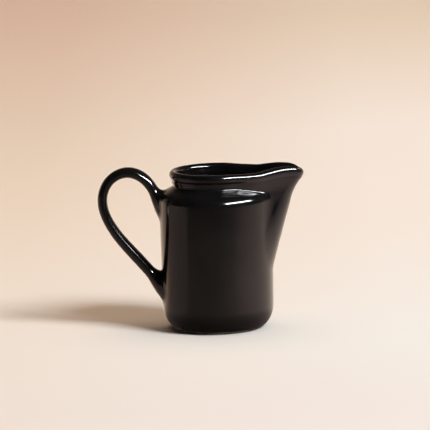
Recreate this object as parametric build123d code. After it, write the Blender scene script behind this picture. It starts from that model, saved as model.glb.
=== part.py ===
"""Glazed stoneware milk jug: round body, rolled rim, pulled pouring spout and an ear-shaped loop handle.

Millimetres. The origin is the centre of the footprint on the resting plane, +Z is up,
+X points out of the spout and -X towards the handle. The jug is symmetric about the XZ plane.
"""

import os
from math import acos, cos, pi, radians, sin, sqrt

from build123d import *

os.makedirs("parts", exist_ok=True)

# ---------------------------------------------------------------- driving dimensions
# body
FOOT_CONTACT_R = 27.6  # outer radius of the ring the jug stands on
FOOT_INNER_R = 24.1  # the ring's inner edge, around the recess under the base
FOOT_H = 1.5  # depth of the recess under the base
BODY_R = 39.95  # outer radius at the bottom of the straight wall
BODY_TAPER = 1.05  # the wall opens by this much up to the shoulder
CORNER_H = 18.0  # height of the rounded lower corner
WALL = 3.9
FLOOR_TOP = 5.5
FLOOR_R = 23.5  # the flat of the floor inside
SHOULDER_Z = 93.0  # the straight wall ends here
NECK_BASE_Z = 104.0  # the shoulder ends and the neck collar starts
NECK_R = 30.3  # narrowest outer radius
NECK_Z = 106.2
BORE_R = 27.0  # inner radius of the mouth at the neck

# rim
RIM_BASE_Z = 108.6  # the rolled rim sits on this plane
RIM_BASE_R = 31.5
CREST_R = 30.4  # plan radius of the rim's crest around the mouth
CREST_Z = 115.4
RIM_OUT = 2.65  # the roll's reach outside its crest line
RIM_IN = 3.1  # and inside it

# spout, given by its horizontal sections: the hull of a big circle on the body's axis and a small nose circle
SPOUT_LOW_Z = 43.0  # the first section, wholly inside the wall
SPOUT_SLOPE = 0.2866  # outward run of the nose line per millimetre of height
SPOUT_LINE_X = 42.65  # the nose line passes here
SPOUT_LINE_Z = 52.2
CHIN_Z = 52.5  # below this the nose rounds back into the wall
CHIN_DROP = 0.6
CHIN_H = 6.5
FLARE_Z = 93.5  # above this the nose flares outward to the lip
FLARE_OUT = 3.8
NOSE_R = 22.0  # the nose in plan, up to the height where it starts to tighten
NOSE_TIGHTENING = 12.5  # and by how much it tightens between these two heights
NOSE_TIGHTENS_FROM = 62.0
NOSE_TIGHTENS_TO = 114.0
LIP_TIP_X = 60.95  # crest of the lip at the very tip
LIP_NOSE_R = 8.0
SIDE_BULGE = 2.5  # the spout's sides swell outward from straight lines by this much
LIP_BULGE = 1.2  # and this much at the lip
SPOUT_T = 3.4  # spout wall
LIP_THICKER = 0.7  # the spout's wall thickens by this much up to the rim
LIP_THINNER = 0.7  # the rim's roll is this much slimmer inside at the tip
LIP_RISE = 2.05  # the lip stands this much higher beside the tip
TIP_DROP = 1.35  # share of that rise by which it comes down again at the tip
LIP_DIP = 0.5  # and this much lower where it leaves the round mouth

# handle, a flattened strap that follows one curve
HANDLE_LINE = [
    (-34.0, 88.0),
    (-42.9, 98.5),
    (-49.5, 108.2),
    (-62.5, 114.6),
    (-75.1, 109.7),
    (-81.4, 96.6),
    (-75.2, 74.9),
    (-55.5, 50.1),
    (-44.4, 37.6),
    (-34.0, 28.5),
]
STRAP_T_TOP = 8.0  # thickness across the strap at the top of the loop
STRAP_T_SIDE = 7.2
STRAP_T_LOW = 8.4
STRAP_W = 12.5  # width of the strap
UPPER_ROOT_T = 19.0  # the strap's thickness and width where it meets the body
UPPER_ROOT_W = 20.0
LOWER_ROOT_T = 18.6
LOWER_ROOT_W = 23.0
UPPER_ROOT_X = -44.0  # the roots end and the free strap starts here
LOWER_ROOT_X = -46.0

BIG = 400.0


# ---------------------------------------------------------------- helpers
def slab(z_low, z_high):
    """Everything between two horizontal planes."""
    return Pos(0, 0, (z_low + z_high) / 2) * Box(BIG, BIG, z_high - z_low)


def round_about_axis(edges):
    """A solid of revolution from a closed outline drawn in the XZ plane."""
    return revolve(make_face(Plane.XZ * Wire(edges)), axis=Axis.Z)


def smooth_step(value, low, high):
    """0 below low, 1 above high, and an S curve between."""
    share = min(max((value - low) / (high - low), 0.0), 1.0)
    return share * share * (3 - 2 * share)


# ---------------------------------------------------------------- body of revolution
def outer_body():
    """The filled outside of the jug up to the plane under the rim, without its spout."""
    top_r = BODY_R + BODY_TAPER
    shoulder = [(top_r, SHOULDER_Z), (40.0, 97.2), (37.3, 100.2), (33.4, 102.4), (NECK_R, NECK_Z)]
    edges = [
        Line((0, 0), (FOOT_CONTACT_R, 0)),
        EllipticalCenterArc(
            (FOOT_CONTACT_R, CORNER_H), BODY_R - FOOT_CONTACT_R, CORNER_H, start_angle=270, arc_size=90
        ),
        Line((BODY_R, CORNER_H), (top_r, SHOULDER_Z)),
        Spline(*shoulder, tangents=[(0, 1), (0, 1)]),
        Spline((NECK_R, NECK_Z), (RIM_BASE_R, RIM_BASE_Z), tangents=[(0, 1), (0.7, 1)]),
        Line((RIM_BASE_R, RIM_BASE_Z), (0, RIM_BASE_Z)),
        Line((0, RIM_BASE_Z), (0, 0)),
    ]
    return round_about_axis(edges)


def inner_body():
    """The hollow inside the jug up to the plane under the rim, without the spout's channel."""
    low_r = BODY_R - WALL
    top_r = low_r + BODY_TAPER
    corner_h = CORNER_H - 3.0
    shoulder = [(top_r, SHOULDER_Z - 1.5), (36.0, 95.2), (33.4, 97.9), (29.9, 100.0), (BORE_R, 105.4)]
    edges = [
        Line((0, FLOOR_TOP), (FLOOR_R, FLOOR_TOP)),
        EllipticalCenterArc(
            (FLOOR_R, FLOOR_TOP + corner_h), low_r - FLOOR_R, corner_h, start_angle=270, arc_size=90
        ),
        Line((low_r, FLOOR_TOP + corner_h), (top_r, SHOULDER_Z - 1.5)),
        Spline(*shoulder, tangents=[(0, 1), (0, 1)]),
        Line((BORE_R, 105.4), (BORE_R, RIM_BASE_Z)),
        Line((BORE_R, RIM_BASE_Z), (0, RIM_BASE_Z)),
        Line((0, RIM_BASE_Z), (0, FLOOR_TOP)),
    ]
    return round_about_axis(edges)


# ---------------------------------------------------------------- spout
def hull_radius(angle, back_r, nose_r, tip_x, bulge):
    """Distance from the axis to the hull of a circle on the axis and a nose circle, at an angle from +X."""
    centre = tip_x - nose_r
    tangent = acos((back_r - nose_r) / centre)
    leave = (centre + nose_r * cos(tangent), nose_r * sin(tangent))
    leave_angle = acos(leave[0] / sqrt(leave[0] ** 2 + leave[1] ** 2))
    if angle <= leave_angle:
        return centre * cos(angle) + sqrt(max(nose_r**2 - (centre * sin(angle)) ** 2, 0))
    if angle >= tangent:
        return back_r
    share = (angle - leave_angle) / (tangent - leave_angle)
    return back_r / cos(tangent - angle) + bulge * sin(pi * share) ** 2


def nose_tip(z):
    """Reach of the spout's outside in the jug's middle plane."""
    line = SPOUT_LINE_X + SPOUT_SLOPE * (z - SPOUT_LINE_Z)
    flare = FLARE_OUT * (max(z - FLARE_Z, 0) / (RIM_BASE_Z - FLARE_Z)) ** 2
    chin = CHIN_DROP * (max(CHIN_Z - z, 0) / CHIN_H) ** 2
    return line + flare - chin


def nose_radius(z):
    """Radius of the spout's nose in plan: broad at the chin, tight at the lip."""
    return NOSE_R - NOSE_TIGHTENING * smooth_step(z, NOSE_TIGHTENS_FROM, NOSE_TIGHTENS_TO)


def spout_section(z, back_r, nose_r, tip_x, bulge):
    """One horizontal section of the spout, closed by a straight back inside the jug."""
    half = radians(84)
    stations = [0, 0.06, 0.13, 0.22, 0.34, 0.48, 0.64, 0.82, 1.0]
    side = []
    for share in stations:
        angle = half * share
        reach = hull_radius(angle, back_r, nose_r, tip_x, bulge)
        side.append((reach * cos(angle), reach * sin(angle)))
    outline = [(x, -y) for x, y in reversed(side[1:])] + side
    curve = Spline(*[Vector(x, y, z) for x, y in outline])
    return Wire([curve, Line(curve @ 1, curve @ 0)])


def spout_levels():
    """Heights of the spout's sections: closer where it rounds in below and flares out above."""
    return [SPOUT_LOW_Z, 46, 49, 53, 60, 70, 80, 90, 96, 100, 104, 106.5, RIM_BASE_Z]


def side_bulge(z):
    """How far the spout's sides swell outward from straight lines."""
    return SIDE_BULGE + (LIP_BULGE - SIDE_BULGE) * smooth_step(z, 94, RIM_BASE_Z)


def back_radius(z):
    """Radius of the sections' big circle, kept inside the body so that the spout leaves it at an angle."""
    return NECK_R - 0.9 + 1.7 * smooth_step(z, 105, RIM_BASE_Z)


def outer_spout():
    """The filled outside of the spout up to the plane under the rim."""
    sections = []
    for z in spout_levels():
        sections.append(spout_section(z, back_radius(z), nose_radius(z), nose_tip(z), side_bulge(z)))
    return Solid.make_loft(sections)


def inner_spout():
    """The channel inside the spout, the outside's sections stepped in by the wall."""
    sections = []
    for z in spout_levels():
        wall = SPOUT_T + LIP_THICKER * smooth_step(z, 95, RIM_BASE_Z)
        rise = 2.5 * (1 - smooth_step(z, 46, 58))
        tip_x = nose_tip(z - rise) - wall
        sections.append(spout_section(z, back_radius(z) - wall, nose_radius(z) - wall, tip_x, side_bulge(z)))
    channel = Solid.make_loft(sections)
    return channel + extrude(channel.faces().sort_by(Axis.Z)[-1], 1.0)


# ---------------------------------------------------------------- rim
def crest_height(x):
    """Height of the rim's crest: level around the mouth, dipping then rising along the spout, lower at its tip."""
    dip = LIP_DIP * smooth_step(x, 6, 22) * (1 - smooth_step(x, 28, 38))
    rise = LIP_RISE * smooth_step(x, 30, 48) * (1 - TIP_DROP * smooth_step(x, 51.5, 61.5))
    return CREST_Z - dip + rise


def crest_point(angle):
    """A point of the rim's crest line, at an angle from +X."""
    reach = hull_radius(angle, CREST_R, LIP_NOSE_R, LIP_TIP_X, LIP_BULGE)
    x = reach * cos(angle)
    return Vector(x, reach * sin(angle), crest_height(x))


def rim_section(angle):
    """The rolled rim's profile on its crest line, standing on the plane under the rim."""
    step = radians(0.5)
    crest = crest_point(angle)
    along = crest_point(angle - step) - crest_point(angle + step)
    outward = Vector(-along.Y, along.X, 0).normalized()
    height = crest.Z - RIM_BASE_Z
    near_tip = smooth_step(crest.X, 20, 58)
    inner_foot = CREST_R - BORE_R - LIP_THINNER * near_tip
    outer_foot = RIM_BASE_R - CREST_R + 0.3 * near_tip
    inner_roll = RIM_IN - LIP_THINNER * near_tip
    inside = Spline(
        (-inner_foot, 0), (-inner_roll, 0.57 * height), (0, height), tangents=[(0, 1), (1, 0)]
    )
    outside = Spline(
        (0, height), (RIM_OUT, 0.53 * height), (outer_foot, 0), tangents=[(1, 0), (-0.5, -1)]
    )
    seat = Line((outer_foot, 0), (-inner_foot, 0))
    plane = Plane(origin=(crest.X, crest.Y, RIM_BASE_Z), x_dir=outward, z_dir=outward.cross(Vector(0, 0, 1)))
    return plane * Wire([inside, outside, seat])


def rim_bead():
    """The rolled rim: its profile carried around the mouth and along both sides of the spout's lip."""
    stations = [180, 160, 138, 116, 96, 80, 68, 56, 45, 35, 26, 19, 13.5, 9.5, 6.5, 3.2, 0]
    half = Solid.make_loft([rim_section(radians(angle)) for angle in stations])
    return half + mirror(half, about=Plane.XZ)


# ---------------------------------------------------------------- handle
def strap_size(share):
    """Thickness and width of the strap at a share of its length, from the upper root to the lower one."""
    upper = 1 - smooth_step(share, 0.0, 0.12)
    lower = smooth_step(share, 0.86, 1.0)
    slim = smooth_step(share, 0.2, 0.36)
    full = smooth_step(share, 0.5, 0.8)
    thick = STRAP_T_TOP - (STRAP_T_TOP - STRAP_T_SIDE) * slim + (STRAP_T_LOW - STRAP_T_SIDE) * full
    thick += (UPPER_ROOT_T - STRAP_T_TOP) * upper + (LOWER_ROOT_T - STRAP_T_LOW) * lower
    width = STRAP_W - 1.2 * slim * (1 - full)
    width += (UPPER_ROOT_W - STRAP_W) * upper + (LOWER_ROOT_W - STRAP_W) * lower
    return thick, width


def strap():
    """The whole strap, from inside the shoulder round to inside the lower wall."""
    line = Spline(*[Vector(x, 0, z) for x, z in HANDLE_LINE])
    count = 24
    sections = []
    for i in range(count + 1):
        share = i / count
        thick, width = strap_size(share)
        run = line % share
        plane = Plane(origin=line @ share, x_dir=(0, 1, 0), z_dir=run)
        sections.append(Wire([Edge.make_ellipse(width / 2, thick / 2, plane)]))
    return Solid.make_loft(sections)


# ---------------------------------------------------------------- assembly
def build():
    """Every node of the jug, by name."""
    filled = outer_body()
    hollow = inner_body()
    channel = inner_spout()
    shell = filled - hollow
    recess = Cylinder(FOOT_INNER_R, 2 * FOOT_H)
    plug = Cylinder(FLOOR_R, 2 * FLOOR_TOP)
    arm = strap() - filled
    upper_block = Pos(UPPER_ROOT_X + 50, 0, 120) * Box(100, BIG, 100)
    lower_block = Pos(LOWER_ROOT_X + 50, 0, 0) * Box(100, BIG, 100)
    return {
        "foot_ring": (filled & slab(0, FOOT_H)) - recess,
        "base_floor": plug & slab(FOOT_H, FLOOR_TOP),
        "body_wall": (shell & slab(FOOT_H, SHOULDER_Z)) - plug - channel,
        "shoulder": (shell & slab(SHOULDER_Z, NECK_BASE_Z)) - channel,
        "neck_collar": (shell & slab(NECK_BASE_Z, RIM_BASE_Z)) - channel,
        "rim_bead": rim_bead(),
        "spout": outer_spout() - channel - filled,
        "handle": arm - upper_block - lower_block,
        "handle_upper_root": arm & upper_block,
        "handle_lower_root": arm & lower_block,
    }


for name, shape in build().items():
    shape.label = name
    box = shape.bounding_box()
    print(name, len(shape.solids()), "solid", round(shape.volume), "mm3", box.min, box.max, shape.is_valid)
    export_step(shape, f"parts/{name}.step")
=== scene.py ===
"""A black gloss-glazed stoneware milk jug on a pale table, in soft studio light.

Shapes are worked out in millimetres in the CAD model's frame (+Z up, +X out of the spout, -X towards the
handle) and put into Blender in metres. The jug's skin is one grid of levels and columns: each level is a
closed outline around the jug, and the levels run from the middle of the underside up the outside, over the
rim and down the inside to the middle of the floor. Pieces are stretches of that grid with a wall between.
"""

import math

import bpy
import numpy as np
from mathutils import Matrix, Vector


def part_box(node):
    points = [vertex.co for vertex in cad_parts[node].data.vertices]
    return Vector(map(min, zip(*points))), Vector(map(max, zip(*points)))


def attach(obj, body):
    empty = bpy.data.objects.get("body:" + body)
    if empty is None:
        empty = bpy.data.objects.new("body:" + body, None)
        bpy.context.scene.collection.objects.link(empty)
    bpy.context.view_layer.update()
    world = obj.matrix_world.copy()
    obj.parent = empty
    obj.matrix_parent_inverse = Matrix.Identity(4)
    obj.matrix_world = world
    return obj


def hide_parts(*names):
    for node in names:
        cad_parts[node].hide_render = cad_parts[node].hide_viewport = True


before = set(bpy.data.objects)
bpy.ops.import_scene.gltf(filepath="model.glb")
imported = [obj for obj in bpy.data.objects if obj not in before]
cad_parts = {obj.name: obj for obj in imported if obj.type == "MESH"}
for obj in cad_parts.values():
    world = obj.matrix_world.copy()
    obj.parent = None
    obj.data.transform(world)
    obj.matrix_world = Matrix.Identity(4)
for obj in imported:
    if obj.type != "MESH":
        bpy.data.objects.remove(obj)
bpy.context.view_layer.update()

MM = 0.001


def node_size(node):
    """Lowest and highest corner of a CAD node, in millimetres."""
    low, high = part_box(node)
    return [value / MM for value in low], [value / MM for value in high]


# ---------------------------------------------------------------- driving dimensions, mm
RECESS_Z = node_size("foot_ring")[1][2]  # depth of the recess under the base
FLOOR_TOP = node_size("base_floor")[1][2]
FLOOR_R = node_size("base_floor")[1][1]
SHOULDER_Z = node_size("shoulder")[0][2]  # the straight wall ends here
NECK_BASE_Z = node_size("neck_collar")[0][2]
RIM_BASE_Z = node_size("rim_bead")[0][2]
BODY_TOP_R = node_size("body_wall")[1][1]

FOOT_R = 27.6
FOOT_INNER_R = 24.1
FOOT_ROUND = 0.6  # rounding of the foot ring's inner edges
BODY_R = 39.95  # at the top of the rounded lower corner
CORNER_H = 18.0
WALL = 3.9
INNER_SHOULDER_LOWER = 1.5  # the hollow starts to close this much below the outside's shoulder
INNER_CORNER_LOWER = 3.0  # and its lower corner is this much less high
NECK_R = 30.3
NECK_Z = 106.2
BORE_R = 27.0
RIM_BASE_R = 31.5

CREST_R = 30.4
CREST_Z = 115.4
RIM_H = CREST_Z - RIM_BASE_Z
RIM_OUT = 2.65  # the rim's roll outside its crest
RIM_IN = 3.1  # and inside it
RIM_OUT_WIDEST = 0.53  # share of the rim's height at which it is widest outside
RIM_IN_WIDEST = 0.57  # and inside
LIP_TIP_X = 60.95
LIP_NOSE_R = 8.0
SIDE_BULGE = 2.5  # the spout's sides swell outward from straight lines by this much
LIP_BULGE = 1.2  # and this much at the lip
LIP_RISE = 2.05  # the lip stands this much higher beside the tip
LIP_RISES_X = (30.0, 48.0)
TIP_DROP = 1.35  # share of that rise by which it comes down again at the tip
TIP_DROPS_X = (51.5, 61.5)
LIP_DIP = 0.5  # and this much lower where it leaves the round mouth
DIP_STARTS_X, DIP_ENDS_X = (6.0, 22.0), (28.0, 38.0)
LIFT_Z = 98.0  # the rise and dip of the lip fade out down to here
LIP_SPREAD = 0.4  # the rim's roll reaches this much further out at the foot of the tip
LIP_SLIMMER = 0.76  # share of the rim's inward reach that is left at the tip

SPOUT_SLOPE = 0.2866  # outward run of the nose line per millimetre of height
SPOUT_LINE = (42.65, 52.2)  # the nose line passes here
CHIN_Z = 52.5  # below this the nose rounds back into the wall
CHIN_DROP = 0.6
CHIN_H = 6.5
FLARE_Z = 93.5  # above this the nose flares outward to the lip
FLARE_OUT = 3.8
NOSE_R = 22.0  # the nose in plan, up to the height where it starts to tighten
NOSE_TIGHTENING = 12.5
NOSE_TIGHTENS_FROM, NOSE_TIGHTENS_TO = 62.0, 114.0
BACK_R = NECK_R - 0.9  # the big circle of the spout's sections, below the rim
SPOUT_T = 3.4
LIP_THICKER = 0.9  # the spout's wall thickens by this much up to the rim
CHANNEL_RISE = 2.5  # the channel's chin is this much higher than the outside's
CHANNEL_NOSE_WIDER = 0.3
SPOUT_START_Z = 42.0  # below this the spout has no section
SPOUT_FOOT_Z = 43.6  # the spout's piece starts at this level
CREASE = 3.0  # how softly the spout's sides run into the wall
CREASE_WIDENING = 1.0  # and how much more softly near the shoulder
NO_CREASE = 0.02
CREASE_LEAST, CREASE_MOST = 9.0, 62.0  # angles from +X between which the crease lies

HANDLE_LINE = [
    (-34.0, 88.0),
    (-42.9, 98.5),
    (-49.5, 108.2),
    (-62.5, 114.6),
    (-75.1, 109.7),
    (-81.4, 96.6),
    (-75.2, 74.9),
    (-55.5, 50.1),
    (-44.4, 37.6),
    (-34.0, 28.5),
]
STRAP_T_TOP, STRAP_T_SIDE, STRAP_T_LOW = 8.0, 7.2, 8.4
STRAP_W, STRAP_W_SIDE = 12.5, 11.3
UPPER_ROOT_T, UPPER_ROOT_W = 19.0, 20.0
LOWER_ROOT_T, LOWER_ROOT_W = 18.6, 23.0
UPPER_ROOT_X = -44.0
LOWER_ROOT_X = -46.0
ROOT_FILLET = 4.0
ROOT_DEPTH = 2.0  # the roots' ends lie this deep in the wall
STRAP_PLUMP = 2.0 / 2.2  # exponent of the strap's section, 1 for an ellipse

SPOUT_COLUMNS = 52
BACK_COLUMNS = 84


# ---------------------------------------------------------------- curves
def smooth_step(value, low, high):
    """0 below low, 1 above high, and an S curve between."""
    share = np.clip((np.asarray(value, float) - low) / (high - low), 0.0, 1.0)
    return share * share * (3 - 2 * share)


def soft_max(first, second, width):
    """The larger of two values, rounded where they are within width of each other."""
    near = np.maximum(width - np.abs(first - second), 0.0) / width
    return np.maximum(first, second) + near * near * width / 4


def cubic_spline(knots, values, where):
    """A natural cubic spline through values at knots, read at where."""
    knots, values = np.asarray(knots, float), np.asarray(values, float)
    gap = np.diff(knots)
    count = len(knots)
    system = np.eye(count)
    right = np.zeros((count, values.shape[1]))
    slope = np.diff(values, axis=0) / gap[:, None]
    for i in range(1, count - 1):
        system[i, i - 1 : i + 2] = gap[i - 1], 2 * (gap[i - 1] + gap[i]), gap[i]
        right[i] = 6 * (slope[i] - slope[i - 1])
    bend = np.linalg.solve(system, right)
    i = np.clip(np.searchsorted(knots, where) - 1, 0, count - 2)
    h = gap[i][:, None]
    after = (where - knots[i])[:, None]
    before = h - after
    return (
        (bend[i] * before**3 + bend[i + 1] * after**3) / (6 * h)
        + (values[i] / h - bend[i] * h / 6) * before
        + (values[i + 1] / h - bend[i + 1] * h / 6) * after
    )


def curve_through(points, count, ends=None):
    """count points, evenly spaced, on a smooth curve through points. ends are directions at its two ends."""
    points = np.asarray(points, float)
    if ends is not None:
        reach = 0.02
        start = points[0] + reach * np.asarray(ends[0], float)
        stop = points[-1] - reach * np.asarray(ends[1], float)
        points = np.vstack([points[:1], start, points[1:-1], stop, points[-1:]])
    knots = np.concatenate([[0], np.cumsum(np.linalg.norm(np.diff(points, axis=0), axis=1))])
    fine = cubic_spline(knots, points, np.linspace(0, knots[-1], 1500))
    run = np.concatenate([[0], np.cumsum(np.linalg.norm(np.diff(fine, axis=0), axis=1))])
    even = np.linspace(0, run[-1], count)
    return np.stack([np.interp(even, run, fine[:, i]) for i in range(points.shape[1])], axis=1)


def ellipse_arc(centre, radii, start, stop, count):
    """Points on an axis-aligned elliptical arc, angles in degrees."""
    angle = np.radians(np.linspace(start, stop, count))
    return np.stack([centre[0] + radii[0] * np.cos(angle), centre[1] + radii[1] * np.sin(angle)], axis=1)


def segment(start, stop, count):
    """Evenly spaced points on a straight line."""
    return np.linspace(np.asarray(start, float), np.asarray(stop, float), count)


# ---------------------------------------------------------------- spout sections
def hull_radius(angle, back_r, nose_r, tip_x, bulge):
    """Distance from the axis to the hull of a circle on the axis and a nose circle, at angles from +X."""
    angle = np.pi - np.abs(np.pi - angle)
    centre = tip_x - nose_r
    tangent = np.arccos((back_r - nose_r) / centre)
    leave = np.arctan2(nose_r * np.sin(tangent), centre + nose_r * np.cos(tangent))
    on_nose = centre * np.cos(angle) + np.sqrt(np.maximum(nose_r**2 - (centre * np.sin(angle)) ** 2, 0))
    share = np.clip((angle - leave) / (tangent - leave), 0, 1)
    on_side = back_r / np.cos(np.minimum(np.abs(tangent - angle), 1.4)) + bulge * np.sin(np.pi * share) ** 2
    return np.where(angle <= leave, on_nose, np.where(angle >= tangent, back_r, on_side))


def nose_tip(z):
    """Reach of the spout's outside in the jug's middle plane."""
    line = SPOUT_LINE[0] + SPOUT_SLOPE * (z - SPOUT_LINE[1])
    flare = FLARE_OUT * (max(z - FLARE_Z, 0) / (RIM_BASE_Z - FLARE_Z)) ** 2
    chin = CHIN_DROP * (max(CHIN_Z - z, 0) / CHIN_H) ** 2
    return line + flare - chin


def nose_radius(z):
    """Radius of the spout's nose: broad at the chin, tight at the lip."""
    return NOSE_R - NOSE_TIGHTENING * float(smooth_step(z, NOSE_TIGHTENS_FROM, NOSE_TIGHTENS_TO))


def spout_shape(z, inside):
    """back_r, nose_r, tip_x and bulge of the spout's section at a height, outside or inside."""
    bulge = SIDE_BULGE + (LIP_BULGE - SIDE_BULGE) * float(smooth_step(z, 94, RIM_BASE_Z))
    back_r = BACK_R + (RIM_BASE_R - BACK_R) * float(smooth_step(z, 100, RIM_BASE_Z))
    if not inside:
        return back_r, nose_radius(z), nose_tip(z), bulge
    wall = SPOUT_T + LIP_THICKER * float(smooth_step(z, 95, RIM_BASE_Z))
    rise = CHANNEL_RISE * (1 - float(smooth_step(z, 46, 58)))
    return back_r - wall, nose_radius(z) - wall + CHANNEL_NOSE_WIDER, nose_tip(z - rise) - wall, bulge


def crest_lift(angle):
    """How far the rim's crest stands above its height around the mouth, at angles from +X."""
    x = hull_radius(angle, CREST_R, LIP_NOSE_R, LIP_TIP_X, LIP_BULGE) * np.cos(angle)
    dip = LIP_DIP * smooth_step(x, *DIP_STARTS_X) * (1 - smooth_step(x, *DIP_ENDS_X))
    return LIP_RISE * smooth_step(x, *LIP_RISES_X) * (1 - TIP_DROP * smooth_step(x, *TIP_DROPS_X)) - dip


# ---------------------------------------------------------------- the skin's levels
class Level:
    """One closed outline around the jug: a circle, joined by the spout's section where it reaches further."""

    def __init__(self, radius, z, shape=None, crease=CREASE):
        self.radius = float(radius)
        self.z = float(z)
        self.shape = shape
        self.crease = crease
        self.lift = float(np.clip((z - LIFT_Z) / (CREST_Z - LIFT_Z), 0, 1) ** 1.5) if shape else 0.0

    def outline(self, angle):
        """Points of the outline at angles from +X."""
        reach = np.full_like(angle, self.radius)
        if self.shape:
            reach = soft_max(reach, hull_radius(angle, *self.shape), self.crease)
        z = self.z + self.lift * crest_lift(angle)
        return np.stack([reach * np.cos(angle), reach * np.sin(angle), z], axis=1)


def crease_width(z):
    """The crease widens towards the shoulder and is gone where the spout's sides run tangent into the rim."""
    widened = CREASE + CREASE_WIDENING * float(smooth_step(z, 66, 90))
    return widened * (1 - float(smooth_step(z, 98, 107))) + NO_CREASE


def outer_profile():
    """Outside of the body from the foot ring to the plane under the rim."""
    corner = ellipse_arc((FOOT_R, CORNER_H), (BODY_R - FOOT_R, CORNER_H), -90, 0, 61)
    foot_edge = corner[corner[:, 1] > RECESS_Z]
    wall = segment((BODY_R, CORNER_H), (BODY_TOP_R, SHOULDER_Z), 76)[1:]
    points = [(BODY_TOP_R, SHOULDER_Z), (40.0, 97.2), (37.3, 100.2), (33.4, 102.4), (NECK_R, NECK_Z)]
    shoulder = curve_through(points, 48, ends=[(0, 1), (0, 1)])[1:]
    flare = curve_through([(NECK_R, NECK_Z), (RIM_BASE_R, RIM_BASE_Z)], 9, ends=[(0, 1), (0.55, 1)])[1:]
    return foot_edge, wall, shoulder, flare


def inner_radius(z):
    """Radius of the hollow above the floor's rounding."""
    top, top_z = BODY_TOP_R - WALL, SHOULDER_Z - INNER_SHOULDER_LOWER
    points = [(top, top_z), (36.0, 95.2), (33.4, 97.9), (29.9, 100.0), (BORE_R, 105.4)]
    shoulder = curve_through(points, 60, ends=[(0, 1), (0, 1)])
    low = BODY_R - WALL
    if z <= top_z:
        return low + (top - low) * max(z - CORNER_H, 0) / (top_z - CORNER_H)
    return float(np.interp(z, shoulder[:, 1], shoulder[:, 0]))


def rim_levels():
    """The rolled rim from its outer foot over the crest to its inner foot."""
    lip = RIM_OUT_WIDEST * RIM_H
    inside = RIM_IN_WIDEST * RIM_H
    rise = curve_through([(RIM_BASE_R - CREST_R, 0), (RIM_OUT, lip)], 12, ends=[(0.55, 1), (0, 1)])[1:]
    outside = ellipse_arc((0, lip), (RIM_OUT, RIM_H - lip), 0, 90, 17)[1:]
    over = ellipse_arc((0, inside), (RIM_IN, RIM_H - inside), 90, 180, 17)[1:]
    fall = curve_through([(-RIM_IN, inside), (BORE_R - CREST_R, 0)], 10, ends=[(0, -1), (0, -1)])[1:]
    levels = []
    for out, height in np.vstack([rise, outside, over, fall]):
        tip_out = out + LIP_SPREAD * (1 - height / RIM_H) if out > 0 else out * LIP_SLIMMER
        shape = (CREST_R + out, LIP_NOSE_R + tip_out, LIP_TIP_X + tip_out, LIP_BULGE)
        levels.append(Level(CREST_R + out, RIM_BASE_Z + height, shape, NO_CREASE))
    return levels


def skin_levels():
    """All levels in order, and the index of each one that a piece starts or ends at."""
    marks = {}
    edge, small = FOOT_INNER_R, FOOT_ROUND
    levels = [Level(radius, RECESS_Z) for radius in (0, 8, 16, 22, edge - small)]
    under = ellipse_arc((edge - small, RECESS_Z - small), (small, small), 90, 0, 5)
    levels += [Level(*point) for point in under[1:]]
    marks["recess"] = len(levels) - 1
    levels += [Level(*point) for point in ellipse_arc((edge + small, 0.5), (small, 0.5), 180, 270, 5)]
    levels += [Level(radius, 0) for radius in (edge + 1.4, FOOT_R - 0.6)]
    levels += [Level(*point) for point in ellipse_arc((FOOT_R - 0.4, 0.35), (0.9, 0.35), -90, -50, 4)[1:]]
    foot_edge, wall, shoulder, flare = outer_profile()
    levels += [Level(*point) for point in segment((FOOT_R + 1.0, 0.12), foot_edge[0], 8)[1:]]
    marks["foot"] = len(levels) - 1
    outside = np.vstack([foot_edge[1:], wall, shoulder, flare])
    for radius, z in outside:
        shape = spout_shape(z, inside=False) if z > SPOUT_START_Z else None
        levels.append(Level(radius, z, shape, crease_width(z)))
        for name, height in [("spout_foot", SPOUT_FOOT_Z), ("shoulder", SHOULDER_Z), ("neck", NECK_BASE_Z)]:
            if name not in marks and z >= height - 1e-6:
                marks[name] = len(levels) - 1
    marks["rim_out"] = len(levels) - 1
    levels += rim_levels()
    marks["rim_in"] = len(levels) - 1
    for index in range(marks["rim_out"] - 1, marks["spout_foot"] - 1, -1):
        z = levels[index].z
        levels.append(Level(inner_radius(z), z, spout_shape(z, inside=True), crease_width(z)))
        for name in ("spout_foot", "shoulder", "neck"):
            if marks[name] == index:
                marks[name + "_in"] = len(levels) - 1
    z_low = levels[-1].z
    corner_h = CORNER_H - INNER_CORNER_LOWER
    for z in np.linspace(z_low, FLOOR_TOP + corner_h, 22)[1:-1]:
        shape = spout_shape(z, inside=True) if z > SPOUT_START_Z else None
        levels.append(Level(inner_radius(z), z, shape))
    low_r = BODY_R - WALL - FLOOR_R
    for radius, z in ellipse_arc((FLOOR_R, FLOOR_TOP + corner_h), (low_r, corner_h), 0, -90, 26):
        levels.append(Level(radius, z))
    marks["floor"] = len(levels) - 1
    levels += [Level(radius, FLOOR_TOP) for radius in (19, 12, 5, 0)]
    return levels, marks


def crease_angle(level):
    """Angle from +X, in degrees, at which the spout's side meets the body."""
    if not level.shape:
        return CREASE_LEAST
    angles = np.radians(np.linspace(CREASE_LEAST, CREASE_MOST, 400))
    ahead = hull_radius(angles, *level.shape) > level.radius
    return float(np.degrees(angles[ahead][-1])) if ahead.any() else CREASE_LEAST


def column_angles(crease):
    """Angles of all columns of one level, once around from +X, with a column on each crease."""
    near = crease * np.linspace(0, 1, SPOUT_COLUMNS + 1) ** 1.3
    far = crease + (180 - crease) * np.linspace(0, 1, BACK_COLUMNS + 1)[1:]
    half = np.concatenate([near, far])
    return np.radians(np.concatenate([half, 360 - half[1:-1][::-1]]))


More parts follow.
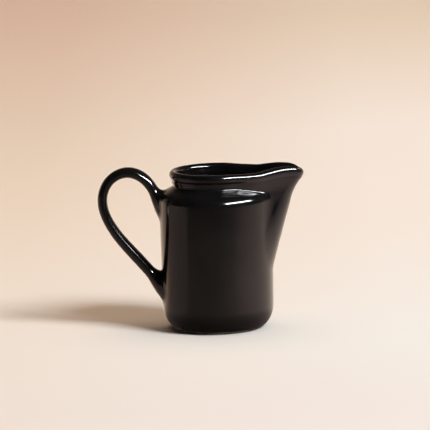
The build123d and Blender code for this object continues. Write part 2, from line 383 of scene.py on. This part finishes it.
def skin_grid():
    """Points of the whole skin, levels by columns, with the marks."""
    levels, marks = skin_levels()
    outer = range(marks["foot"], marks["rim_out"] + 1)
    heights = [levels[index].z for index in outer]
    creases = [crease_angle(levels[index]) for index in outer]
    smooth = np.convolve(np.pad(creases, 3, mode="edge"), np.ones(7) / 7, mode="valid")
    rows = []
    for level in levels:
        crease = float(np.interp(level.z, heights, smooth))
        rows.append(level.outline(column_angles(crease)))
    return np.array(rows), marks


def grid_normals(points):
    """Outward unit normals of a grid that closes around its columns."""
    along = np.roll(points, -1, axis=1) - np.roll(points, 1, axis=1)
    padded = np.concatenate([2 * points[:1] - points[1:2], points, 2 * points[-1:] - points[-2:-1]])
    up = padded[2:] - padded[:-2]
    normals = np.cross(along, up)
    length = np.linalg.norm(normals, axis=2, keepdims=True)
    return normals / np.maximum(length, 1e-12)


# ---------------------------------------------------------------- handle
def strap_size(share):
    """Half thickness and half width of the strap at a share of its length."""
    upper = 1 - smooth_step(share, 0.0, 0.12)
    lower = smooth_step(share, 0.86, 1.0)
    slim = smooth_step(share, 0.2, 0.36)
    full = smooth_step(share, 0.5, 0.8)
    thick = STRAP_T_TOP + (STRAP_T_SIDE - STRAP_T_TOP) * slim + (STRAP_T_LOW - STRAP_T_SIDE) * full
    thick += (UPPER_ROOT_T - STRAP_T_TOP) * upper + (LOWER_ROOT_T - STRAP_T_LOW) * lower
    width = STRAP_W + (STRAP_W_SIDE - STRAP_W) * slim * (1 - full)
    width += (UPPER_ROOT_W - STRAP_W) * upper + (LOWER_ROOT_W - STRAP_W) * lower
    return thick / 2, width / 2


def handle_grid(rings=200, sides=56):
    """Points of the handle's surface, rings by sides, and the strap's middle line and sizes along it."""
    path = curve_through(HANDLE_LINE, rings)
    run = np.gradient(path, axis=0)
    run /= np.linalg.norm(run, axis=1, keepdims=True)
    across = np.stack([-run[:, 1], run[:, 0]], axis=1)
    thick, width = strap_size(np.linspace(0, 1, rings))
    angle = np.linspace(0, 2 * np.pi, sides, endpoint=False)
    cos, sin = np.cos(angle), np.sin(angle)
    shape_t = np.sign(cos) * np.abs(cos) ** STRAP_PLUMP
    shape_w = np.sign(sin) * np.abs(sin) ** STRAP_PLUMP
    x = path[:, None, 0] + across[:, None, 0] * thick[:, None] * shape_t
    z = path[:, None, 1] + across[:, None, 1] * thick[:, None] * shape_t
    y = width[:, None] * shape_w * np.ones_like(x)
    return np.stack([x, y, z], axis=2), path, across, thick, width


def body_distance(points, profile):
    """Distance of points from the body's round outside, positive outside it."""
    flat = np.stack([np.hypot(points[..., 0], points[..., 1]), points[..., 2]], axis=-1)
    shape = flat.shape[:-1]
    flat = flat.reshape(-1, 2)
    gap = np.linalg.norm(flat[:, None] - profile[None], axis=2)
    nearest = gap.argmin(axis=1)
    tangent = np.gradient(profile, axis=0)
    outward = np.stack([tangent[:, 1], -tangent[:, 0]], axis=1)
    outward /= np.linalg.norm(outward, axis=1, keepdims=True)
    signed = ((flat - profile[nearest]) * outward[nearest]).sum(axis=1)
    return signed.reshape(shape)


def strap_distance(points, path, across, thick, width):
    """Rough distance of points from the strap's surface, positive outside it."""
    flat = points.reshape(-1, 3)
    gap = np.hypot(flat[:, None, 0] - path[None, :, 0], flat[:, None, 2] - path[None, :, 1])
    nearest = gap.argmin(axis=1)
    offset = flat[:, [0, 2]] - path[nearest]
    side = (offset * across[nearest]).sum(axis=1)
    reach = np.hypot(side, flat[:, 1])
    level = np.sqrt((side / thick[nearest]) ** 2 + (flat[:, 1] / width[nearest]) ** 2)
    return (reach * (1 - 1 / np.maximum(level, 0.05))).reshape(points.shape[:-1])


def fillet_push(distance, width):
    """How far a surface swells where another comes within width of it."""
    near = np.clip(1 - np.maximum(distance, 0) / width, 0, 1)
    return near * near * width / 4


# ---------------------------------------------------------------- meshes
def make_mesh(name, vertices, faces, loop_normals, material):
    """A piece from points in millimetres, with the given normal at each face corner."""
    mesh = bpy.data.meshes.new(name)
    mesh.from_pydata([tuple(point * MM) for point in vertices], [], faces)
    mesh.polygons.foreach_set("use_smooth", [True] * len(mesh.polygons))
    mesh.normals_split_custom_set([tuple(normal) for normal in loop_normals])
    mesh.materials.append(material)
    mesh.update()
    piece = bpy.data.objects.new(name, mesh)
    bpy.context.scene.collection.objects.link(piece)
    return piece


class Skin:
    """A grid of points and normals that pieces are cut from."""

    def __init__(self, points, normals):
        self.points = points
        self.normals = normals
        self.columns = points.shape[1]

    def vertex(self, key):
        """A level whose points all coincide is one vertex."""
        level, column = key
        row = self.points[level]
        return (level, 0) if np.ptp(row, axis=0).max() < 1e-6 else (level, column % self.columns)

    def piece(self, name, cells, partner, material):
        """The cells as one closed solid: each open edge is walled to the partner level's same columns."""
        quads = []
        edges = {}
        for level, column in cells:
            quad = [(level, column), (level, column + 1), (level + 1, column + 1), (level + 1, column)]
            quad = [(a, b % self.columns) for a, b in quad]
            quads.append(quad)
            for start, stop in zip(quad, quad[1:] + quad[:1]):
                edges[(start, stop)] = edges.get((start, stop), 0) + 1
        walls = []
        for start, stop in edges:
            if (stop, start) not in edges and start[0] in partner and stop[0] in partner:
                walls.append([stop, start, (partner[start[0]], start[1]), (partner[stop[0]], stop[1])])
        index = {}
        vertices = []
        faces = []
        loops = []
        for kind, group in (("skin", quads), ("wall", walls)):
            for quad in group:
                keys = []
                for key in quad:
                    key = self.vertex(key)
                    if key not in keys:
                        keys.append(key)
                if len(keys) < 3:
                    continue
                corners = [self.points[key] for key in keys]
                flat = np.cross(corners[1] - corners[0], corners[2] - corners[0])
                flat = flat / max(np.linalg.norm(flat), 1e-12)
                for key in keys:
                    if key not in index:
                        index[key] = len(vertices)
                        vertices.append(self.points[key])
                    loops.append(self.normals[key] if kind == "skin" else flat)
                faces.append([index[key] for key in keys])
        return make_mesh(name, vertices, faces, loops, material)


# ---------------------------------------------------------------- materials
def new_material(name):
    """An empty node material with a Principled shader."""
    material = bpy.data.materials.new(name)
    material.use_nodes = True
    tree = material.node_tree
    tree.nodes.clear()
    output = tree.nodes.new("ShaderNodeOutputMaterial")
    shader = tree.nodes.new("ShaderNodeBsdfPrincipled")
    tree.links.new(shader.outputs["BSDF"], output.inputs["Surface"])
    return material, tree, shader


def add_noise(tree, scale, detail, roughness=0.5):
    """Noise in the object's own coordinates. scale is in features per metre."""
    coordinates = tree.nodes.new("ShaderNodeTexCoord")
    noise = tree.nodes.new("ShaderNodeTexNoise")
    noise.inputs["Scale"].default_value = scale
    noise.inputs["Detail"].default_value = detail
    noise.inputs["Roughness"].default_value = roughness
    tree.links.new(coordinates.outputs["Object"], noise.inputs["Vector"])
    return noise.outputs["Fac"]


def add_ramp(tree, source, stops):
    """A colour ramp over source. stops are (position, colour)."""
    ramp = tree.nodes.new("ShaderNodeValToRGB")
    elements = ramp.color_ramp.elements
    while len(elements) < len(stops):
        elements.new(0.5)
    for element, (position, colour) in zip(elements, stops):
        element.position = position
        element.color = (*colour, 1.0)
    tree.links.new(source, ramp.inputs["Fac"])
    return ramp.outputs["Color"]


def add_range(tree, source, low, high, start=0.3, stop=0.7):
    """source mapped from start..stop to low..high."""
    node = tree.nodes.new("ShaderNodeMapRange")
    node.inputs["From Min"].default_value = start
    node.inputs["From Max"].default_value = stop
    node.inputs["To Min"].default_value = low
    node.inputs["To Max"].default_value = high
    tree.links.new(source, node.inputs["Value"])
    return node.outputs["Result"]


def add_math(tree, operation, first, second):
    """A math node. Each input is a number or another node's output."""
    node = tree.nodes.new("ShaderNodeMath")
    node.operation = operation
    for socket, value in zip(node.inputs, (first, second)):
        if isinstance(value, float):
            socket.default_value = value
        else:
            tree.links.new(value, socket)
    return node.outputs["Value"]


def add_bump(tree, height, distance, strength, below=None):
    """Bump from height, on top of the bump below it."""
    bump = tree.nodes.new("ShaderNodeBump")
    bump.inputs["Distance"].default_value = distance
    bump.inputs["Strength"].default_value = strength
    tree.links.new(height, bump.inputs["Height"])
    if below is not None:
        tree.links.new(below, bump.inputs["Normal"])
    return bump.outputs["Normal"]


def black_glaze():
    """Black gloss glaze: pooled and thinned patches, faint orange peel and slow waves in its surface."""
    material, tree, shader = new_material("black_glaze")
    tones = [(0.3, (0.0035, 0.0033, 0.0035)), (0.72, (0.007, 0.0062, 0.006))]
    tree.links.new(add_ramp(tree, add_noise(tree, 60, 4), tones), shader.inputs["Base Color"])
    gloss = add_range(tree, add_noise(tree, 180, 5, 0.6), 0.10, 0.15)
    tree.links.new(gloss, shader.inputs["Roughness"])
    waves = add_bump(tree, add_noise(tree, 45, 1), 0.0004, 0.08)
    peel = add_bump(tree, add_noise(tree, 900, 2), 0.00002, 0.16, below=waves)
    tree.links.new(peel, shader.inputs["Normal"])
    shader.inputs["IOR"].default_value = 1.5
    return material


def bare_clay():
    """Fired stoneware wiped free of glaze: buff, speckled and matt."""
    material, tree, shader = new_material("bare_clay")
    tones = [(0.32, (0.12, 0.085, 0.06)), (0.5, (0.33, 0.26, 0.19)), (0.75, (0.45, 0.37, 0.28))]
    tree.links.new(add_ramp(tree, add_noise(tree, 900, 6, 0.7), tones), shader.inputs["Base Color"])
    tree.links.new(add_range(tree, add_noise(tree, 400, 3), 0.8, 0.95), shader.inputs["Roughness"])
    tree.links.new(add_bump(tree, add_noise(tree, 1500, 4), 0.00008, 0.6), shader.inputs["Normal"])
    return material


# ---------------------------------------------------------------- the jug
def build_skin(glaze, clay):
    """The jug without its handle, as its pieces."""
    points, marks = skin_grid()
    strap = handle_grid()[1:]
    normals = grid_normals(points)
    outside = slice(marks["foot"], marks["rim_out"] + 1)
    gap = strap_distance(points[outside], *strap)
    push = fillet_push(gap, ROOT_FILLET) * (points[outside][..., 0] < -20)
    points[outside] += normals[outside] * push[..., None]
    normals = grid_normals(points)
    normals[0] = (0, 0, -1)
    normals[-1] = (0, 0, 1)
    skin = Skin(points, normals)
    columns = range(skin.columns)
    spout = set(range(SPOUT_COLUMNS)) | set(range(skin.columns - SPOUT_COLUMNS, skin.columns))
    back = [column for column in columns if column not in spout]
    spout = sorted(spout)
    foot, low, high = marks["foot"], marks["spout_foot"], marks["rim_out"]
    last = len(points) - 1
    inner = {marks[name]: marks[name + "_in"] for name in ("spout_foot", "shoulder", "neck")}
    inner[high] = marks["rim_in"]
    for level in range(low, high + 1):
        inner[level] = marks["rim_in"] + high - level
    wall_pairs = dict(inner)
    wall_pairs[foot] = marks["floor"]

    def cells(first, stop, chosen):
        return [(level, column) for level in range(first, stop) for column in chosen]

    def both(first, stop, chosen):
        """The cells of a stretch of the outside and of the same stretch inside."""
        return cells(first, stop, chosen) + cells(inner[stop], inner[first], chosen)

    return {
        "base_floor": skin.piece(
            "base_floor_glazed",
            cells(0, marks["recess"], columns) + cells(marks["floor"], last, columns),
            {marks["recess"]: marks["floor"]},
            glaze,
        ),
        "foot_ring": skin.piece(
            "foot_ring_bare", cells(marks["recess"], foot, columns), {marks["recess"]: foot}, clay
        ),
        "body_wall": skin.piece(
            "body_wall_glazed",
            cells(foot, low, columns)
            + cells(inner[low], marks["floor"], columns)
            + both(low, marks["shoulder"], back),
            wall_pairs,
            glaze,
        ),
        "shoulder": skin.piece("shoulder_glazed", both(marks["shoulder"], marks["neck"], back), inner, glaze),
        "neck_collar": skin.piece("neck_collar_glazed", both(marks["neck"], high, back), inner, glaze),
        "spout": skin.piece("spout_glazed", both(low, high, spout), inner, glaze),
        "rim_bead": skin.piece(
            "rim_bead_glazed", cells(high, marks["rim_in"], columns), {high: marks["rim_in"]}, glaze
        ),
    }


def strap_normals(rings, path):
    """Normals of the handle's surface, away from its middle line."""
    normals = grid_normals(rings)
    middle = np.stack([path[:, 0], np.zeros(len(path)), path[:, 1]], axis=1)
    inward = ((rings - middle[:, None]) * normals).sum(axis=2).mean() < 0
    return -normals if inward else normals


def shape_handle():
    """The handle's surface with fillets at the body and its ends held just inside the wall."""
    rings, path = handle_grid()[:2]
    profile = np.vstack(outer_profile())
    swell = fillet_push(body_distance(rings, profile), ROOT_FILLET)
    rings = rings + strap_normals(rings, path) * swell[..., None]
    sunk = np.maximum(-ROOT_DEPTH - body_distance(rings, profile), 0)
    radial = rings * np.array([1, 1, 0])
    radial /= np.maximum(np.linalg.norm(radial, axis=2, keepdims=True), 1e-9)
    rings = rings + radial * sunk[..., None]
    return rings, path, strap_normals(rings, path)


def facing(corners, direction):
    """Whether corners run anticlockwise when they are seen against direction."""
    first, second = corners[2] - corners[0], corners[3] - corners[1]
    return np.cross(first, second) @ direction > 0


def build_handle(glaze):
    """The handle's free strap and its two roots."""
    rings, path, normals = shape_handle()
    count, sides = rings.shape[:2]
    on_upper = [i for i in range(count) if path[i, 0] > UPPER_ROOT_X and path[i, 1] > 70]
    on_lower = [i for i in range(count) if path[i, 0] > LOWER_ROOT_X and path[i, 1] < 60]
    stretches = {
        "handle_upper_root": (0, on_upper[-1]),
        "handle": (on_upper[-1], on_lower[0]),
        "handle_lower_root": (on_lower[0], count - 1),
    }
    pieces = {}
    for node, (first, stop) in stretches.items():
        vertices = rings[first : stop + 1].reshape(-1, 3)
        flat_normals = normals[first : stop + 1].reshape(-1, 3)
        faces = []
        loops = []
        for row in range(stop - first):
            here, above = row * sides, (row + 1) * sides
            for side in range(sides):
                after = (side + 1) % sides
                quad = [here + side, here + after, above + after, above + side]
                outward = facing(vertices[quad], flat_normals[quad].mean(axis=0))
                quad = quad if outward else quad[::-1]
                faces.append(quad)
                loops.extend(flat_normals[quad])
        for row, before, after, direction in (
            (0, first, first + 1, -1),
            (stop - first, stop - 1, stop, 1),
        ):
            cap = [row * sides + side for side in range(sides)]
            run = path[after] - path[before]
            run = np.array([run[0], 0, run[1]]) * direction / np.linalg.norm(run)
            around_cap = vertices[cap[:: sides // 4]]
            cap = cap if facing(around_cap, run) else cap[::-1]
            faces.append(cap)
            loops.extend([run] * sides)
        pieces[node] = make_mesh(node + "_glazed", vertices, faces, loops, glaze)
    return pieces


# ---------------------------------------------------------------- studio
CAMERA_DISTANCE = 4.0
CAMERA_ELEVATION = math.radians(10.5)
CAMERA_ROLL = math.radians(1.59)
FRAME_PX = 430
FOCAL_PX = 5532.0
BASE_X, BASE_Y = 219.2, 326.8

KEY_AZIMUTH = 53.0
KEY_DISTANCE = 2.5
KEY_WIDTH = 2.45
KEY_STRIPS = [("key_high", 36.0, 0.1, 110), ("key_middle", 34.0, 0.12, 10), ("key_low", 31.0, 0.14, 110)]

SUN_AZIMUTH, SUN_ELEVATION, SUN_DISTANCE = 47, 41, 6.0
SUN_COLOUR = (0.865, 0.94, 1.0)
FILL_PLACE = (0.2, 0.9, 3.6)
FILL_COLOUR = (1.0, 0.80, 0.63)
STRIP_COLOUR = (0.95, 0.98, 1.0)
AIM_Z = 0.09  # height on the jug that the key lights look at, metres

FLOOR_HALF, CARD_HALF = 12.0, 9.0
CARD_Z = 0.0002
CARD_NEAR, CARD_FAR = 0.24, 0.56  # the glow in front fades between these distances from the jug
CARD_DARK, CARD_LIT = 0.034, 0.085  # and it is dark up to the jug's foot

# sockets of a colour Mix node
MIX_FIRST, MIX_SECOND, MIX_RESULT = 6, 7, 2

# colour of the table by distance behind the jug, at the left and the right of the picture: painted light and
# shade, the fall-off of the light across the table put into its colour
FLOOR_NEAR, FLOOR_FAR = -0.4, 1.9
FLOOR_LEFT_X, FLOOR_RIGHT_X = -0.15, 0.13
FLOOR_LEFT_PAINTED_LIGHT = [
    (-0.3, (0.779, 0.682, 0.614)),
    (-0.07, (0.792, 0.699, 0.621)),
    (0.44, (0.801, 0.671, 0.554)),
    (0.95, (0.781, 0.634, 0.504)),
    (1.75, (0.784, 0.569, 0.452)),
]
FLOOR_RIGHT_PAINTED_LIGHT = [
    (-0.3, (0.770, 0.700, 0.657)),
    (-0.07, (0.793, 0.750, 0.699)),
    (0.44, (0.845, 0.754, 0.683)),
    (0.95, (0.895, 0.801, 0.729)),
    (1.75, (0.860, 0.717, 0.573)),
]

# what the glaze mirrors at table level: degrees around the jug from the camera's side, positive to the right
CARD_STRENGTH = 1.3
CARD_COLOURS = [
    (-180, (0.95, 0.76, 0.62)),
    (-140, (0.85, 0.63, 0.48)),
    (-108, (0.36, 0.24, 0.18)),
    (-90, (0.32, 0.25, 0.23)),
    (-62, (0.30, 0.235, 0.215)),
    (-57, (0.20, 0.15, 0.115)),
    (-10, (0.18, 0.13, 0.10)),
    (10, (0.22, 0.165, 0.13)),
    (28, (0.34, 0.255, 0.215)),
    (45, (0.56, 0.41, 0.37)),
    (60, (0.70, 0.52, 0.48)),
    (100, (0.86, 0.68, 0.59)),
    (140, (0.98, 0.79, 0.66)),
    (180, (0.95, 0.76, 0.62)),
]
CARD_FADE = [(-180, 0.0), (-62, 0.0), (-57, 0.7), (0, 0.85), (30, 0.7), (60, 0.45), (90, 0.3), (180, 0.1)]


def add_camera():
    """A long lens, a little above the table, level with the jug's side."""
    data = bpy.data.cameras.new("camera")
    data.sensor_width = 36.0
    data.lens = 36.0 * FOCAL_PX / FRAME_PX
    data.clip_end = 100
    camera = bpy.data.objects.new("camera", data)
    bpy.context.scene.collection.objects.link(camera)
    back = Vector((0, -math.cos(CAMERA_ELEVATION), math.sin(CAMERA_ELEVATION)))
    right = Vector((1, 0, 0))
    up = back.cross(right)
    turn = CAMERA_ROLL
    rolled_right = right * math.cos(turn) - up * math.sin(turn)
    rolled_up = right * math.sin(turn) + up * math.cos(turn)
    basis = Matrix((rolled_right, rolled_up, back)).transposed().to_4x4()
    camera.matrix_world = Matrix.Translation(back * CAMERA_DISTANCE) @ basis
    data.shift_x = (FRAME_PX / 2 - BASE_X) / FRAME_PX
    data.shift_y = (BASE_Y - FRAME_PX / 2) / FRAME_PX
    bpy.context.scene.camera = camera


def around(azimuth, elevation, distance):
    """A place around the jug's shoulder, azimuth in degrees from the camera's side, positive to the right."""
    turn, lift = math.radians(azimuth), math.radians(elevation)
    level = distance * math.cos(lift)
    return (level * math.sin(turn), -level * math.cos(turn), AIM_Z + distance * math.sin(lift))


def add_area(name, place, target, size, energy, colour):
    """A rectangular soft light at place, facing target."""
    data = bpy.data.lights.new(name, "AREA")
    data.shape = "RECTANGLE"
    data.size, data.size_y = size
    data.energy = energy
    data.color = colour
    light = bpy.data.objects.new(name, data)
    light.location = place
    direction = Vector(target) - Vector(place)
    light.rotation_euler = direction.to_track_quat("-Z", "Y").to_euler()
    bpy.context.scene.collection.objects.link(light)
    return light


def add_plane(name, half, z, material):
    """A square level plane, from -half to half."""
    mesh = bpy.data.meshes.new(name)
    corners = [(-half, -half, z), (half, -half, z), (half, half, z), (-half, half, z)]
    mesh.from_pydata(corners, [], [(0, 1, 2, 3)])
    mesh.materials.append(material)
    plane = bpy.data.objects.new(name, mesh)
    bpy.context.scene.collection.objects.link(plane)
    return plane


def add_position(tree, output="Object"):
    """The parts of a texture coordinate."""
    coordinates = tree.nodes.new("ShaderNodeTexCoord")
    split = tree.nodes.new("ShaderNodeSeparateXYZ")
    tree.links.new(coordinates.outputs[output], split.inputs["Vector"])
    return split.outputs


def add_card():
    """What the glaze mirrors instead of the bare table: bright to the right and behind, dark in front.

    A plane just above the table that only mirror rays see. Its glow goes by direction around the jug, and in
    front it fades with distance.
    """
    material = bpy.data.materials.new("card")
    material.use_nodes = True
    tree = material.node_tree
    tree.nodes.clear()
    output = tree.nodes.new("ShaderNodeOutputMaterial")
    glow = tree.nodes.new("ShaderNodeEmission")
    tree.links.new(glow.outputs["Emission"], output.inputs["Surface"])
    place = add_position(tree)
    forward = add_math(tree, "MULTIPLY", place["Y"], -1.0)
    azimuth = add_math(tree, "ARCTAN2", place["X"], forward)
    turn = add_range(tree, azimuth, 0.0, 1.0, start=-math.pi, stop=math.pi)
    across_squared = add_math(tree, "POWER", place["X"], 2.0)
    forward_squared = add_math(tree, "POWER", forward, 2.0)
    distance = add_math(tree, "SQRT", add_math(tree, "ADD", across_squared, forward_squared), 0.0)
    colours = [((degrees + 180) / 360, colour) for degrees, colour in CARD_COLOURS]
    fades = [((degrees + 180) / 360, (share, share, share)) for degrees, share in CARD_FADE]
    far = add_range(tree, distance, 0.0, 1.0, start=CARD_NEAR, stop=CARD_FAR)
    faded = add_math(tree, "MULTIPLY", add_ramp(tree, turn, fades), far)
    clear = add_range(tree, distance, 0.15, 1.0, start=CARD_DARK, stop=CARD_LIT)
    share = add_math(tree, "MULTIPLY", add_math(tree, "SUBTRACT", 1.0, faded), clear)
    tree.links.new(add_ramp(tree, turn, colours), glow.inputs["Color"])
    tree.links.new(add_math(tree, "MULTIPLY", share, CARD_STRENGTH), glow.inputs["Strength"])
    card = add_plane("card", CARD_HALF, CARD_Z, material)
    card.visible_camera = False
    card.visible_diffuse = False
    card.visible_shadow = False
    card.visible_transmission = False


def add_floor():
    """A wide pale table top, with painted light and shade: its colour is graded by place to stand for the
    fall-off of the light across it.
    """
    material, tree, shader = new_material("floor")
    shader.inputs["Roughness"].default_value = 0.8
    shader.inputs["Specular IOR Level"].default_value = 0.0
    place = add_position(tree)
    depth = add_range(tree, place["Y"], 0.0, 1.0, start=FLOOR_NEAR, stop=FLOOR_FAR)
    across = add_range(tree, place["X"], 0.0, 1.0, start=FLOOR_LEFT_X, stop=FLOOR_RIGHT_X)
    mix = tree.nodes.new("ShaderNodeMix")
    mix.data_type = "RGBA"
    tree.links.new(across, mix.inputs["Factor"])
    for side, socket in ((FLOOR_LEFT_PAINTED_LIGHT, mix.inputs[MIX_FIRST]), (FLOOR_RIGHT_PAINTED_LIGHT, mix.inputs[MIX_SECOND])):
        stops = [((y - FLOOR_NEAR) / (FLOOR_FAR - FLOOR_NEAR), colour) for y, colour in side]
        tree.links.new(add_ramp(tree, depth, stops), socket)
    tree.links.new(mix.outputs[MIX_RESULT], shader.inputs["Base Color"])
    floor = add_plane("floor", FLOOR_HALF, 0, material)
    floor.visible_glossy = False


def add_world():
    """Warm walls behind and beside the jug, a dark room in front of it."""
    world = bpy.data.worlds.new("studio")
    world.use_nodes = True
    tree = world.node_tree
    tree.nodes.clear()
    output = tree.nodes.new("ShaderNodeOutputWorld")
    background = tree.nodes.new("ShaderNodeBackground")
    direction = add_position(tree, "Generated")
    depth = add_range(tree, direction["Y"], 0.0, 1.0, start=-0.2, stop=0.9)
    colours = [(0.0, (0.012, 0.011, 0.011)), (0.3, (0.03, 0.024, 0.02)), (1.0, (0.8, 0.6, 0.45))]
    low = add_range(tree, direction["Z"], 1.0, 0.06, start=0.0, stop=0.5)
    tree.links.new(low, background.inputs["Strength"])
    tree.links.new(add_ramp(tree, depth, colours), background.inputs["Color"])
    tree.links.new(background.outputs["Background"], output.inputs["Surface"])
    bpy.context.scene.world = world


def add_lights():
    """Strips that only the glaze mirrors, a sun that casts the shadow and a warm fill from above."""
    aim = (0, 0, AIM_Z)
    for name, elevation, height, energy in KEY_STRIPS:
        place = around(KEY_AZIMUTH, elevation, KEY_DISTANCE)
        strip = add_area(name, place, aim, (KEY_WIDTH, height), energy, STRIP_COLOUR)
        strip.visible_diffuse = False
    place = around(SUN_AZIMUTH, SUN_ELEVATION, SUN_DISTANCE)
    sun = add_area("sun", place, (0, 0, 0.05), (1.9, 1.9), 432, SUN_COLOUR)
    sun.visible_glossy = False
    below = (FILL_PLACE[0], FILL_PLACE[1], 0)
    fill = add_area("fill", FILL_PLACE, below, (3.6, 3.6), 80, FILL_COLOUR)
    fill.visible_glossy = False


def main():
    """The jug's pieces, each in place of its CAD node, and the studio."""
    glaze = black_glaze()
    clay = bare_clay()
    pieces = build_skin(glaze, clay)
    pieces.update(build_handle(glaze))
    for node, piece in pieces.items():
        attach(piece, "root")
        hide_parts(node)
    add_floor()
    add_world()
    add_card()
    add_lights()
    add_camera()


main()
bpy.context.scene.view_settings.view_transform = "Standard"
